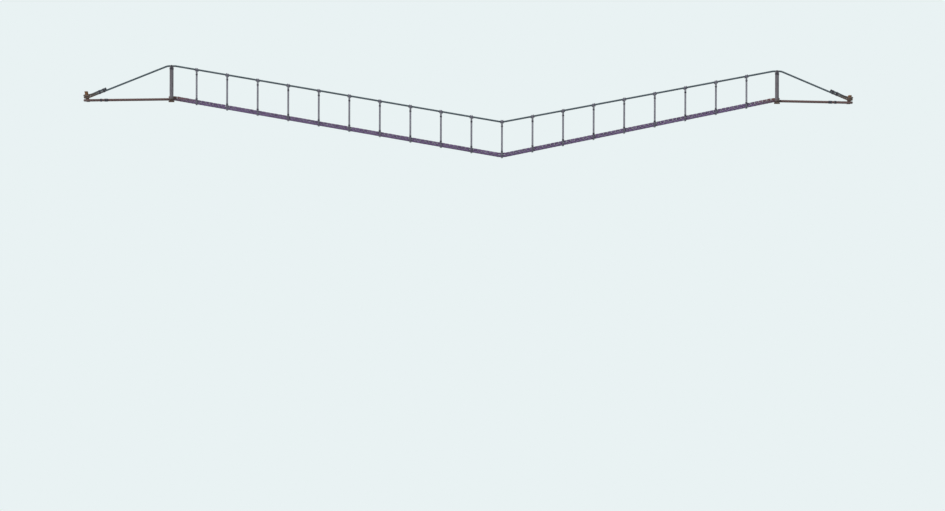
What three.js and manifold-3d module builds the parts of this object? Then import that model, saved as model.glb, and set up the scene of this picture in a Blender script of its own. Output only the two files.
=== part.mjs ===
// Rope suspension footbridge, in millimetres, +Z up.
// Two hand ropes pass over short posts at each landing, and two foot ropes over the sills under them.
// Rope slings hang from the hand ropes, go down outside the deck and pass under both foot ropes.
// The crosswise boards lie on the foot ropes. Every rope ends in turns round a stake.
// The bridge hangs as it does with its load at the low point, in which two straight legs meet.
// +X runs from the left landing to the right one, and the near side is at negative Y.
// The origin is the middle of the left sill's underside.

import * as THREE from "three";
import { mergeVertices } from "three/addons/utils/BufferGeometryUtils.js";
import Module from "manifold-3d";

// Layout along the bridge
const FIRST_BAY = 690; // the short bay beside the left landing
const BAY = 840; // every other bay between slings
const BAY_COUNT = 20;
const LOW_STATION = 11; // the sling where the deck hangs lowest
const DECK_SAG = 1530; // drop of the foot ropes from the sills to the low point
const RAIL_ABOVE_FOOT = { left: 915, low: 945, right: 820 }; // hand rope centre above foot rope centre
const STAKE_RUN = { left: 2290, right: 1960 }; // from the posts to the stakes

// Layout across the bridge
const RAIL_HALF = 500; // hand ropes and posts, from the centre line
const FOOT_HALF = 370; // foot ropes, from the centre line

// Ropes
const HAND_RADIUS = 26;
const FOOT_RADIUS = 36;
const STRAND_RADIUS = 13; // a sling is two strands side by side
const ROPE_SIDES = 12;

// Timber
const BOARD_LENGTH = 800;
const BOARD_THICKNESS = 48;
const BOARD_PITCH = 112; // along the foot ropes, fitted to whole boards in each stretch
const BOARD_GAP = 9.5;
const TIE = { inset: 45, height: 9 }; // what joins two boards over each foot rope, from their ends
const POST_RADIUS = 55;
const POST_CHAMFER = 10;
const POST_ABOVE_ROPE = 12; // cheeks of the saddle above the hand rope's centre
const SILL = { width: 160, height: 42, length: 1240 };
const STAKE = { radius: 50, chamfer: 12, lean: 0.2 }; // lean is run over rise, away from the span
const STAKE_HEIGHT = { left: 295, right: 250 };

// Small distances
const SEAT = 0.35; // gap between pieces that touch
const REST_HALF = 110; // half the level stretch of a rope over a post or sill, to its corner
const LOW_HALF = 70; // half the level stretch at the low point, to its corner
const BEND_RADIUS = { rest: 250, low: 150 };
const BEND_STEPS = 3;
const PANEL_GAP = 6; // between neighbouring stretches of boards
const BOARDS_PAST_POST = 76; // how far the boards run on over the sill
const HITCH_HALF = 50; // half the length of the hitch round a hand rope
const HITCH_CHAMFER = 9;
const ROUND_SIDES = 24; // posts and stakes

// The end of each rope: round its stake and back to the rope itself, where its loose end is seized.
// The side is that of the stake where the rope meets it: 1 is away from the centre line.
const TURN_SEAT = 2;
const FOOT_END = { turns: 0.5, rise: 0, base: 8, side: -1, radius: FOOT_RADIUS };
const HAND_END = { turns: 1.5, rise: 2 * HAND_RADIUS + 1, base: 84, side: 1, radius: HAND_RADIUS };
const TURN_STEPS = 16; // of a whole turn
const THROAT = 330; // from the stake to where the loose end meets the rope
const LOOSE_TIP = 560; // from the stake to the loose end's tip
const THROAT_STEPS = 6;

const SPAN = FIRST_BAY + BAY * (BAY_COUNT - 1);
const LOW_X = stationX(LOW_STATION);
const STAKE_HALF = FOOT_HALF + turnRadius(FOOT_RADIUS); // so that a foot rope runs straight to its stake

const footSillHeight = SILL.height + SEAT + FOOT_RADIUS;
const footLowHeight = footSillHeight - DECK_SAG;

const SIDES = [
  { name: "near", sign: -1 },
  { name: "far", sign: 1 },
];
const LANDINGS = [
  { name: "left", x: 0, outward: -1 },
  { name: "right", x: SPAN, outward: 1 },
];

// Colours and finishes
const tarredRope = new THREE.MeshStandardMaterial({ color: 0x5a6468, roughness: 0.92, metalness: 0 });
const slingRope = new THREE.MeshStandardMaterial({ color: 0x625f6e, roughness: 0.93, metalness: 0 });
const deckTimber = new THREE.MeshStandardMaterial({ color: 0x6a5672, roughness: 0.85, metalness: 0 });
const postTimber = new THREE.MeshStandardMaterial({ color: 0x5d5558, roughness: 0.85, metalness: 0 });
const footingTimber = new THREE.MeshStandardMaterial({ color: 0x6b4e43, roughness: 0.88, metalness: 0 });

const manifold = await Module();
manifold.setup();

// Radius of a rope's centre line round a stake.
function turnRadius(ropeRadius) {
  return STAKE.radius + TURN_SEAT + ropeRadius;
}

// Place of a station along the bridge: 0 is the left posts, BAY_COUNT the right posts.
function stationX(station) {
  return station === 0 ? 0 : FIRST_BAY + (station - 1) * BAY;
}

// A three.js geometry as a manifold solid, with its shared vertices merged.
function toSolid(geometry) {
  const bare = geometry.clone();
  bare.deleteAttribute("normal");
  bare.deleteAttribute("uv");
  const merged = mergeVertices(bare, 1e-3);
  const corners = merged.index.array;
  const kept = [];
  for (let i = 0; i < corners.length; i += 3) {
    const [a, b, c] = [corners[i], corners[i + 1], corners[i + 2]];
    if (a !== b && b !== c && c !== a) kept.push(a, b, c);
  }
  const vertProperties = merged.attributes.position.array;
  return new manifold.Manifold(
    new manifold.Mesh({ numProp: 3, vertProperties, triVerts: new Uint32Array(kept) }),
  );
}

// A manifold solid as a three.js geometry.
function toGeometry(solid) {
  const mesh = solid.getMesh();
  const positions = new Float32Array(mesh.numVert * 3);
  for (let i = 0; i < mesh.numVert; i++) {
    const start = i * mesh.numProp;
    positions.set(mesh.vertProperties.subarray(start, start + 3), i * 3);
  }
  const geometry = new THREE.BufferGeometry();
  geometry.setAttribute("position", new THREE.BufferAttribute(positions, 3));
  geometry.setIndex(new THREE.BufferAttribute(mesh.triVerts, 1));
  geometry.computeVertexNormals();
  return geometry;
}

// Several geometries joined into one closed body.
function joined(geometries) {
  return toGeometry(geometries.map(toSolid).reduce((whole, piece) => whole.add(piece)));
}

// A route that an extrusion follows from point to point, mitred at each of them.
class PointRoute extends THREE.Curve {
  constructor(points) {
    super();
    this.points = points;
  }

  getPointAt(share, target = new THREE.Vector3()) {
    return target.copy(this.points[Math.round(share * (this.points.length - 1))]);
  }

  getTangentAt(share, target = new THREE.Vector3()) {
    const last = this.points.length - 1;
    const here = Math.round(share * last);
    target.set(0, 0, 0);
    for (const start of [Math.max(here - 1, 0), Math.min(here, last - 1)]) {
      target.add(this.points[start + 1].clone().sub(this.points[start]).normalize());
    }
    return target.normalize();
  }
}

// A closed body of the given section along a list of points.
function swept(section, points) {
  const route = new PointRoute(points);
  const settings = { steps: points.length - 1, extrudePath: route, bevelEnabled: false };
  return new THREE.ExtrudeGeometry(section, settings);
}

function polygon(radius, sides) {
  const corners = [];
  for (let i = 0; i < sides; i++) {
    const angle = (2 * Math.PI * i) / sides;
    corners.push(new THREE.Vector2(radius * Math.cos(angle), radius * Math.sin(angle)));
  }
  return new THREE.Shape(corners);
}

// The points of a line through the corners. A corner that has a radius is rounded on it.
function roundedLine(corners) {
  return corners.flatMap(({ point, radius }, i) => {
    if (!radius) return [point];
    const back = corners[i - 1].point.clone().sub(point).normalize();
    const ahead = corners[i + 1].point.clone().sub(point).normalize();
    const reach = radius / Math.tan(back.angleTo(ahead) / 2);
    const bend = new THREE.QuadraticBezierCurve3(
      point.clone().addScaledVector(back, reach),
      point,
      point.clone().addScaledVector(ahead, reach),
    );
    return bend.getPoints(BEND_STEPS);
  });
}

// A point of a rope's turns round its stake, where angle 0 is the place at which the rope meets it.
function turnPoint(landing, sideSign, end, angle) {
  const z = end.base + end.radius + (end.rise * angle) / (2 * Math.PI);
  const reach = turnRadius(end.radius);
  const run = STAKE_RUN[landing.name] + STAKE.lean * z + reach * Math.sin(angle);
  const y = sideSign * (STAKE_HALF + end.side * reach * Math.cos(angle));
  return new THREE.Vector3(landing.x + landing.outward * run, y, z);
}

// A rope's end, from its loose tip to the place where it meets its stake. The loose part lies beside
// the rope, at the given offset, and opens to the turns in a throat.
function ropeEnd(landing, sideSign, end, next, offset) {
  const tie = turnPoint(landing, sideSign, end, 0);
  const along = next.clone().sub(tie).normalize();
  const beside = (distance) => tie.clone().addScaledVector(along, distance).add(offset);
  const lastAngle = end.turns * 2 * Math.PI;
  const exit = turnPoint(landing, sideSign, end, lastAngle);
  const toBridge = new THREE.Vector3(-landing.outward, 0, 0);
  const throat = new THREE.CubicBezierCurve3(
    beside(THROAT),
    beside(THROAT * 0.6),
    exit.clone().addScaledVector(toBridge, THROAT * 0.4),
    exit,
  );
  const points = [beside(LOOSE_TIP), ...throat.getPoints(THROAT_STEPS)];
  const steps = end.turns * TURN_STEPS;
  for (let i = steps - 1; i >= 0; i--) {
    points.push(turnPoint(landing, sideSign, end, (lastAngle * i) / steps));
  }
  return points;
}

// The corners of a rope that crosses the bridge, from one loose tip to the other.
function crossingCorners(sideSign, y, heights, end, offset) {
  const at = (x, z, radius) => ({ point: new THREE.Vector3(x, y, z), radius });
  const middle = [
    at(-REST_HALF, heights.left, BEND_RADIUS.rest),
    at(REST_HALF, heights.left, BEND_RADIUS.rest),
    at(LOW_X - LOW_HALF, heights.low, BEND_RADIUS.low),
    at(LOW_X + LOW_HALF, heights.low, BEND_RADIUS.low),
    at(SPAN - REST_HALF, heights.right, BEND_RADIUS.rest),
    at(SPAN + REST_HALF, heights.right, BEND_RADIUS.rest),
  ];
  const [left, right] = LANDINGS.map((landing) => {
    const next = landing.outward < 0 ? middle[0] : middle[middle.length - 1];
    return ropeEnd(landing, sideSign, end, next.point, offset).map((point) => ({ point }));
  });
  return [...left, ...middle, ...right.reverse()];
}

function footLine(sideSign) {
  const heights = { left: footSillHeight, low: footLowHeight, right: footSillHeight };
  const outside = new THREE.Vector3(0, sideSign * (2 * FOOT_RADIUS + 1), 0);
  return roundedLine(crossingCorners(sideSign, sideSign * FOOT_HALF, heights, FOOT_END, outside));
}

function handLine(sideSign) {
  const heights = {
    left: footSillHeight + RAIL_ABOVE_FOOT.left,
    low: footLowHeight + RAIL_ABOVE_FOOT.low,
    right: footSillHeight + RAIL_ABOVE_FOOT.right,
  };
  const above = new THREE.Vector3(0, 0, 2 * HAND_RADIUS * 1.08 + 1);
  return roundedLine(crossingCorners(sideSign, sideSign * RAIL_HALF, heights, HAND_END, above));
}

// Height and slope of a rope's centre line at x, between the posts.
function lineAt(points, x) {
  const first = points.findIndex((point) => Math.abs(point.x) < REST_HALF);
  const next = points.findIndex((point, i) => i > first && point.x > x);
  const [a, b] = [points[next - 1], points[next]];
  const slope = (b.z - a.z) / (b.x - a.x);
  return { z: a.z + slope * (x - a.x), slope };
}

// Half the height of a sloping rope where an upright plane cuts it.
function uprightRadius(radius, slope) {
  return radius * Math.hypot(1, slope);
}

// A shape turned about the Y axis, stood up on its stake's place and leaned away from the span.
function leaned(geometry, landing, sideSign) {
  const lean = new THREE.Matrix4().makeShear(0, 0, 0, 0, landing.outward * STAKE.lean, 0);
  const stakeX = landing.x + landing.outward * STAKE_RUN[landing.name];
  return geometry.rotateX(Math.PI / 2).applyMatrix4(lean).translate(stakeX, sideSign * STAKE_HALF, 0);
}

function roundTimber(radius, height, chamfer) {
  const outline = [
    new THREE.Vector2(0, 0),
    new THREE.Vector2(radius, 0),
    new THREE.Vector2(radius, height - chamfer),
    new THREE.Vector2(radius - chamfer, height),
    new THREE.Vector2(0, height),
  ];
  return new THREE.LatheGeometry(outline, ROUND_SIDES);
}

// A post that stands on the sill, with a saddle in its top for the hand rope.
function post(landing) {
  const ropeHeight = RAIL_ABOVE_FOOT[landing.name] + footSillHeight - SILL.height - SEAT;
  const height = ropeHeight + POST_ABOVE_ROPE;
  const grooveRadius = (HAND_RADIUS + SEAT) / Math.cos(Math.PI / ROPE_SIDES);
  const groove = new THREE.CylinderGeometry(grooveRadius, grooveRadius, 3 * POST_RADIUS, ROPE_SIDES);
  groove.rotateZ(Math.PI / 2).translate(0, 0, ropeHeight);
  const mouth = new THREE.BoxGeometry(3 * POST_RADIUS, 2 * (HAND_RADIUS + SEAT), 2 * HAND_RADIUS);
  mouth.translate(0, 0, ropeHeight + HAND_RADIUS);
  const log = toSolid(roundTimber(POST_RADIUS, height, POST_CHAMFER).rotateX(Math.PI / 2));
  return toGeometry(log.subtract(toSolid(groove)).subtract(toSolid(mouth)));
}

// The two strands of a sling side by side, as one flat section: its width lies along the bridge.
function strandPair() {
  const width = 2 * STRAND_RADIUS;
  const outline = [[width, 0.5], [width * 0.7, 1], [-width * 0.7, 1], [-width, 0.5]];
  const half = outline.map(([x, share]) => new THREE.Vector2(x, share * STRAND_RADIUS));
  const mirrored = outline.map(([x, share]) => new THREE.Vector2(x, -share * STRAND_RADIUS)).reverse();
  return new THREE.Shape([...half, ...mirrored]);
}

// A sling at a station, with the origin at the height of the foot ropes: from one hand rope,
// under both foot ropes, to the other hand rope, with a hitch round each hand rope.
function sling(railHeight, footSlope, railSlope) {
  const wrapRadius = uprightRadius(FOOT_RADIUS, footSlope) + 2 * SEAT + STRAND_RADIUS;
  const top = new THREE.Vector2(RAIL_HALF - FOOT_HALF, railHeight - HAND_RADIUS - 5);
  const firstAngle = Math.atan2(top.y, top.x) - Math.acos(wrapRadius / top.length());
  const arcSteps = 5;
  const half = [new THREE.Vector3(0, FOOT_HALF + top.x, top.y)];
  for (let i = 0; i <= arcSteps; i++) {
    const angle = THREE.MathUtils.lerp(firstAngle, -Math.PI / 2, i / arcSteps);
    const y = FOOT_HALF + wrapRadius * Math.cos(angle);
    half.push(new THREE.Vector3(0, y, wrapRadius * Math.sin(angle)));
  }
  const mirrored = half.map((point) => new THREE.Vector3(0, -point.y, point.z)).reverse();
  const strands = swept(strandPair(), [...half, ...mirrored]);
  strands.applyMatrix4(new THREE.Matrix4().makeShear(0, footSlope, 0, 0, 0, 0));

  const inner = (uprightRadius(HAND_RADIUS, railSlope) + SEAT) / Math.cos(Math.PI / ROPE_SIDES);
  const outer = inner + 2 * STRAND_RADIUS;
  const outline = [
    [inner, -HITCH_HALF],
    [outer - HITCH_CHAMFER, -HITCH_HALF],
    [outer, HITCH_CHAMFER - HITCH_HALF],
    [outer, HITCH_HALF - HITCH_CHAMFER],
    [outer - HITCH_CHAMFER, HITCH_HALF],
    [inner, HITCH_HALF],
    [inner, -HITCH_HALF],
  ].map(([x, y]) => new THREE.Vector2(x, y));
  const hitches = SIDES.map((side) => {
    const ring = new THREE.LatheGeometry(outline, ROPE_SIDES).rotateZ(-Math.PI / 2);
    ring.applyMatrix4(new THREE.Matrix4().makeShear(0, railSlope, 0, 0, 0, 0));
    return ring.translate(0, side.sign * RAIL_HALF, railHeight);
  });
  return joined([strands, ...hitches]);
}

// Length of a line of points.
function lineLength(points) {
  return points.slice(1).reduce((sum, point, i) => sum + point.distanceTo(points[i]), 0);
}

// The point at a distance along a line of points.
function walked(points, distance) {
  let left = distance;
  let i = 1;
  while (i < points.length - 1 && left > points[i].distanceTo(points[i - 1])) {
    left -= points[i].distanceTo(points[i - 1]);
    i += 1;
  }
  return points[i - 1].clone().lerp(points[i], left / points[i].distanceTo(points[i - 1]));
}

// The space between two boards at a distance along the foot ropes. It spares a tie over each rope.
function boardGap(spine, distance) {
  const past = 10;
  const inner = BOARD_LENGTH / 2 - TIE.inset;
  const outer = BOARD_LENGTH / 2 + past;
  const half = [[inner, -past], [inner, TIE.height], [outer, TIE.height], [outer, BOARD_THICKNESS + past]];
  const mirrored = half.map(([y, z]) => [-y, z]).reverse();
  const outline = [...half, ...mirrored].map(([y, z]) => new THREE.Vector2(y, z));
  const settings = { depth: BOARD_GAP, bevelEnabled: false };
  const space = new THREE.ExtrudeGeometry(new THREE.Shape(outline), settings);
  const [alongX, alongY, alongZ] = [0, 1, 2].map((axis) => new THREE.Vector3().setComponent(axis, 1));
  space.translate(0, 0, -BOARD_GAP / 2).applyMatrix4(new THREE.Matrix4().makeBasis(alongY, alongZ, alongX));

  const along = walked(spine, distance + BOARD_PITCH / 2).sub(walked(spine, distance - BOARD_PITCH / 2));
  along.normalize();
  const up = new THREE.Vector3(-along.z, 0, along.x);
  const seat = walked(spine, distance).addScaledVector(up, FOOT_RADIUS + SEAT);
  return space.applyMatrix4(new THREE.Matrix4().makeBasis(along, alongY, up).setPosition(seat));
}

// A stretch of boards on the foot ropes, between two places along the bridge.
function boards(line, fromX, toX) {
  const bends = line.filter((point) => point.x > fromX + 1 && point.x < toX - 1);
  const places = [fromX, ...bends.map((point) => point.x), toX];
  const spine = places.map((x) => new THREE.Vector3(x, 0, lineAt(line, x).z));
  const route = new PointRoute(spine);
  const lifted = (rise) =>
    spine.map((point, i) => {
      const along = route.getTangentAt(i / (spine.length - 1));
      return new THREE.Vector2(point.x - rise * along.z, point.z + rise * along.x);
    });
  const underside = FOOT_RADIUS + SEAT;
  const outline = [...lifted(underside), ...lifted(underside + BOARD_THICKNESS).reverse()];
  const settings = { depth: BOARD_LENGTH, bevelEnabled: false };
  const slab = new THREE.ExtrudeGeometry(new THREE.Shape(outline), settings);
  slab.rotateX(Math.PI / 2).translate(0, BOARD_LENGTH / 2, 0);

  const length = lineLength(spine);
  const count = Math.round(length / BOARD_PITCH);
  let stretch = toSolid(slab);
  for (let i = 1; i < count; i++) stretch = stretch.subtract(toSolid(boardGap(spine, (length * i) / count)));
  return toGeometry(stretch);
}

const bridge = new THREE.Group();

function addNode(name, geometry, material, x = 0, y = 0, z = 0) {
  const mesh = new THREE.Mesh(geometry, material);
  mesh.name = name;
  mesh.position.set(x, y, z);
  bridge.add(mesh);
}

// Portals at the landings: a sill, two posts and two stakes each
for (const landing of LANDINGS) {
  const sill = new THREE.BoxGeometry(SILL.width, SILL.length, SILL.height);
  addNode(`${landing.name}_sill`, sill, footingTimber, landing.x, 0, SILL.height / 2);
  for (const side of SIDES) {
    const place = [landing.x, side.sign * RAIL_HALF, SILL.height + SEAT];
    addNode(`${landing.name}_${side.name}_post`, post(landing), postTimber, ...place);
    const stakeHeight = STAKE_HEIGHT[landing.name];
    const stake = leaned(roundTimber(STAKE.radius, stakeHeight, STAKE.chamfer), landing, side.sign);
    addNode(`${landing.name}_${side.name}_stake`, stake, footingTimber);
  }
}

// Ropes from stake to stake
for (const side of SIDES) {
  const handSection = polygon(HAND_RADIUS, ROPE_SIDES);
  addNode(`${side.name}_hand_rope`, swept(handSection, handLine(side.sign)), tarredRope);
  const footSection = polygon(FOOT_RADIUS, ROPE_SIDES);
  addNode(`${side.name}_foot_rope`, swept(footSection, footLine(side.sign)), tarredRope);
}

// Slings at every station between the posts
const footLevel = footLine(1);
const handLevel = handLine(1);
for (let station = 1; station < BAY_COUNT; station++) {
  const x = stationX(station);
  const foot = lineAt(footLevel, x);
  const hand = lineAt(handLevel, x);
  const name = `hanger_sling_${String(station).padStart(2, "0")}`;
  addNode(name, sling(hand.z - foot.z, foot.slope, hand.slope), slingRope, x, 0, foot.z);
}

// Boards: one bay, then pairs of bays to the low point, pairs again, and one bay
const panelEdges = [0];
for (let station = 1; station < BAY_COUNT; station += 2) panelEdges.push(station);
panelEdges.push(BAY_COUNT);
for (let panel = 1; panel < panelEdges.length; panel++) {
  const [from, to] = [panelEdges[panel - 1], panelEdges[panel]];
  const fromX = from === 0 ? -BOARDS_PAST_POST : stationX(from) + PANEL_GAP / 2;
  const toX = to === BAY_COUNT ? SPAN + BOARDS_PAST_POST : stationX(to) - PANEL_GAP / 2;
  const name = `deck_boards_${String(panel).padStart(2, "0")}`;
  addNode(name, boards(footLevel, fromX, toX), deckTimber);
}

export default bridge;
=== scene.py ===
"""The looks of a rope suspension footbridge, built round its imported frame.

Sizes are in metres, in the frame of the model: +X runs along the bridge from the left landing, the near
side is at negative Y, +Z is up, and the origin lies under the middle of the left sill.
"""

from __future__ import annotations

import enum
import logging
import math
import random
from dataclasses import dataclass, field
from functools import partial
from typing import Callable, Iterable, Sequence, TypeVar

import bmesh
import bpy
import numpy as np
from mathutils import Matrix, Vector, noise

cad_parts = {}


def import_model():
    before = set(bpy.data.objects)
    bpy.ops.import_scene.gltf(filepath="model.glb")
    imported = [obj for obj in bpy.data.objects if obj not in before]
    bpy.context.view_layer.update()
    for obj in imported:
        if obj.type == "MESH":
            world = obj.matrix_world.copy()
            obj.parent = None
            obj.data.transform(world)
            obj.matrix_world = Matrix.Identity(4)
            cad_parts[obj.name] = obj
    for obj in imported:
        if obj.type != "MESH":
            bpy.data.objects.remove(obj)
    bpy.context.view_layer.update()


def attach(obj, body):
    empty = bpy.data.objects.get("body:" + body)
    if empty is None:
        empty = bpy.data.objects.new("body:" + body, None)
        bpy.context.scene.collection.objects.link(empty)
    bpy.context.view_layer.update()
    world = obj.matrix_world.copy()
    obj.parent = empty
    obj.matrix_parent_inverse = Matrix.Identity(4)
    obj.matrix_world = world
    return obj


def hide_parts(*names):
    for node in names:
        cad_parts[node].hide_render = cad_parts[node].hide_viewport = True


Mesh = bpy.types.Mesh
Material = bpy.types.Material
Socket = bpy.types.NodeSocket
Add = Callable[..., Socket]
Path = list[Vector]
Outline = tuple[tuple[float, float], ...]
Value = TypeVar("Value")

LOG = logging.getLogger("footbridge")
IMAGE_WIDTH = 945
IMAGE_HEIGHT = 511
BEND_STEPS = 8
# Points closer than this are one
TINY = 1e-5
# How far twine stands off what it binds, and how close its turns lie, both in its radii
TWINE_REACH = 0.8
TWINE_PITCH = 2.1
# A Mix of colours takes its factor at 0 and its colours at 6 and 7, and gives its result at 2.
# A Map Range takes where it reads from at 1 and 2, and what it gives there at 3 and 4.
MIXED = {"data_type": "RGBA"}
TIMES = {"data_type": "RGBA", "blend_type": "MULTIPLY"}
ROUND_Z = {"cent": (0, 0, 0), "axis": (0, 0, 1), "use_duplicate": False}


class Option(enum.Enum):
    """One of a few options, whose name stands in the names of pieces."""

    @property
    def label(self) -> str:
        """The option's name, as it stands there."""
        return self.name.lower()


class Landing(Option):
    """The two landings, and the direction away from the span at each."""

    LEFT = -1
    RIGHT = 1

    def of(self, pair: tuple[Value, Value]) -> Value:
        """Gives this landing's value out of one for the left and one for the right."""
        return pair[self is Landing.RIGHT]


class Side(Option):
    """The two long sides of the bridge, and the sign of Y at each."""

    NEAR = -1
    FAR = 1


class Rope(Option):
    """The two main ropes of a side."""

    HAND = "over the posts"
    FOOT = "under the deck"


class Slot(enum.Enum):
    """Material slots of the record."""

    MAIN_ROPE = "tarred_rope"
    SLING_ROPE = "sling_rope"
    BOARDS = "deck_timber"
    POSTS = "post_timber"
    FOOTING = "footing_timber"


@dataclass(frozen=True)
class Layout:
    """Places along and across the bridge, and the main ropes' centre lines, from its driving dimensions.

    A pair is for the left and the right landing. Three values have the low point between them.
    """

    first_bay: float = 0.690
    bay: float = 0.840
    bay_count: int = 20
    low_station: int = 11
    deck_sag: float = 1.530
    rail_above_foot: tuple[float, float, float] = (0.915, 0.945, 0.820)
    rail_half: float = 0.500
    foot_half: float = 0.370
    hand_radius: float = 0.026
    foot_radius: float = 0.036
    sill_height: float = 0.042
    stake_run: tuple[float, float] = (2.290, 1.960)
    stake_height: tuple[float, float] = (0.295, 0.250)
    stake_radius: float = 0.050
    stake_lean: float = 0.2
    seat: float = 0.00035
    turn_seat: float = 0.002
    rope_gap: float = 0.001
    rest_half: float = 0.110
    low_half: float = 0.070
    rest_bend: float = 0.250
    low_bend: float = 0.150
    past_posts: float = 0.200

    @property
    def span(self) -> float:
        """Distance between the posts of the two landings."""
        return self.first_bay + self.bay * (self.bay_count - 1)

    @property
    def foot_sill(self) -> float:
        """Height of the foot ropes' centre lines over the sills."""
        return self.sill_height + self.seat + self.foot_radius

    @property
    def stake_half(self) -> float:
        """Distance of the stakes from the centre line."""
        return self.foot_half + self.stake_radius + self.turn_seat + self.foot_radius

    def station_x(self, station: int) -> float:
        """Place of a station along the bridge: 0 is the left posts."""
        return 0.0 if station == 0 else self.first_bay + (station - 1) * self.bay

    def landing_x(self, landing: Landing) -> float:
        """Place of a landing's posts along the bridge."""
        return landing.of((0.0, self.span))

    def radius(self, rope: Rope) -> float:
        """Radius of a main rope."""
        return self.hand_radius if rope is Rope.HAND else self.foot_radius

    def half(self, rope: Rope) -> float:
        """Distance of a main rope from the centre line."""
        return self.rail_half if rope is Rope.HAND else self.foot_half

    def heights(self, rope: Rope) -> list[float]:
        """Heights of a main rope's centre line at the left landing, the low point and the right landing."""
        above = self.rail_above_foot if rope is Rope.HAND else (0.0, 0.0, 0.0)
        return [self.foot_sill + low + rise for low, rise in zip((0.0, -self.deck_sag, 0.0), above)]

    def rest_height(self, rope: Rope, landing: Landing) -> float:
        """Height of a main rope's centre line at a landing."""
        return self.heights(rope)[landing.of((0, 2))]

    def end(self, rope: Rope, landing: Landing, side: Side) -> RopeEnd:
        """Gives an end of a main rope.

        Args:
            rope: The rope.
            landing: The end's landing.
            side: The rope's side.

        Returns:
            Half a turn low on the stake for a foot rope, and more turns above it for a hand rope.
        """
        wide = 2 * self.radius(rope) + self.rope_gap
        if rope is Rope.FOOT:
            tied = {"turns": 0.5, "rise": 0.0, "base": 0.008, "outward": -1, "offset": (wide, 0.0)}
        else:
            # The rope slopes here, so its loose end has to lie farther up than across
            over = (0.0, wide + 0.16 * self.radius(rope))
            tied = {"turns": 1.5, "rise": wide, "base": 0.084, "outward": 1, "offset": over}
        return RopeEnd(self, rope, landing, side, **tied)

    def line(self, rope: Rope, side: Side) -> Path:
        """Gives the centre line of a main rope, over its posts or sills and the low point.

        Args:
            rope: The rope.
            side: Its side.

        Returns:
            The points from one loose tip to the other.
        """
        left, right = (self.end(rope, landing, side) for landing in Landing)
        low_x, y, low = self.station_x(self.low_station), side.value * self.half(rope), self.heights(rope)[1]
        corners = [(point, 0.0) for point in left.points()]
        corners += [(left.corner(inward), self.rest_bend) for inward in (-1, 1)]
        corners += [(Vector((low_x + turn * self.low_half, y, low)), self.low_bend) for turn in (-1, 1)]
        corners += [(right.corner(inward), self.rest_bend) for inward in (1, -1)]
        corners += [(point, 0.0) for point in reversed(right.points())]
        return rounded(corners)

    def over_span(self, rope: Rope) -> Path:
        """Gives a far rope's line from just past the left posts to just past the right ones, at Y = 0."""
        start, end = -self.past_posts, self.span + self.past_posts
        return [Vector((point.x, 0, point.z)) for point in self.line(rope, Side.FAR) if start < point.x < end]


@dataclass(frozen=True)
class RopeEnd:
    """How a main rope is made fast: turns round its stake, then back along itself.

    Each turn climbs by the rise from the base, and outward is 1 where the rope meets the stake on the
    side away from the centre line. The loose end lies at the offset across and up from the rope, and
    its throat and tip are measured from the stake.
    """

    layout: Layout
    rope: Rope
    landing: Landing
    side: Side
    turns: float
    rise: float
    base: float
    outward: int
    offset: tuple[float, float]
    throat: float = 0.330
    loose_tip: float = 0.560
    turn_steps: int = 36
    bend_steps: int = 16

    @property
    def radius(self) -> float:
        """The rope's radius."""
        return self.layout.radius(self.rope)

    @property
    def along(self) -> Vector:
        """Direction of the rope from its stake to its level part."""
        return (self.corner(-1) - self.turn_point(0)).normalized()

    @property
    def aside(self) -> Vector:
        """Way from the rope to its loose end."""
        return Vector((0, self.side.value * self.offset[0], self.offset[1]))

    def corner(self, inward: int) -> Vector:
        """Gives a corner of the rope's level part.

        Args:
            inward: 1 for the corner towards the span, -1 for the one towards the stake.

        Returns:
            The corner.
        """
        layout, rope, landing = self.layout, self.rope, self.landing
        x = layout.landing_x(landing) - inward * landing.value * layout.rest_half
        return Vector((x, self.side.value * layout.half(rope), layout.rest_height(rope, landing)))

    def turn_point(self, angle: float) -> Vector:
        """Gives a point of the rope's centre line round the stake.

        Args:
            angle: Angle from the place where the rope meets the stake.

        Returns:
            The point.
        """
        layout, landing = self.layout, self.landing
        z = self.base + self.radius + self.rise * angle / (2 * math.pi)
        reach = layout.stake_radius + layout.turn_seat + self.radius
        run = landing.of(layout.stake_run) + layout.stake_lean * z + reach * math.sin(angle)
        y = layout.stake_half + self.outward * reach * math.cos(angle)
        return Vector((layout.landing_x(landing) + landing.value * run, self.side.value * y, z))

    def points(self) -> Path:
        """Gives the centre line from the loose tip to the place where the rope meets its stake.

        Returns:
            The points of the line.
        """
        last = self.turns * 2 * math.pi
        leave = self.turn_point(last)
        beside = self.turn_point(0) + self.aside
        controls = (
            beside + self.along * self.throat,
            beside + self.along * self.throat * 0.6,
            leave + Vector((-self.landing.value * self.throat * 0.4, 0, 0)),
            leave,
        )
        count = round(self.turns * self.turn_steps)
        turns = [self.turn_point(last * step / count) for step in range(count - 1, -1, -1)]
        return [beside + self.along * self.loose_tip, *bezier(controls, self.bend_steps), *turns]


def bezier(controls: Sequence[Vector], steps: int) -> Path:
    """Gives the points of a Bezier curve.

    Args:
        controls: Its control points, of any count.
        steps: Number of even steps.

    Returns:
        The points, from the first control to the last.
    """
    line: Path = []
    for step in range(steps + 1):
        points = list(controls)
        while len(points) > 1:
            points = [a.lerp(b, step / steps) for a, b in zip(points, points[1:])]
        line += points
    return line


def rounded(corners: Sequence[tuple[Vector, float]]) -> Path:
    """Rounds the corners of a line.

    Args:
        corners: Each corner and the radius of its bend; one of radius 0 stays as it is.

    Returns:
        The points of the rounded line.
    """
    line: Path = []
    for index, (corner, radius) in enumerate(corners):
        if not radius:
            line.append(corner)
            continue
        back = (corners[index - 1][0] - corner).normalized()
        ahead = (corners[index + 1][0] - corner).normalized()
        reach = radius / math.tan(back.angle(ahead) / 2)
        line += bezier((corner + back * reach, corner, corner + ahead * reach), BEND_STEPS)
    return line


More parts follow.
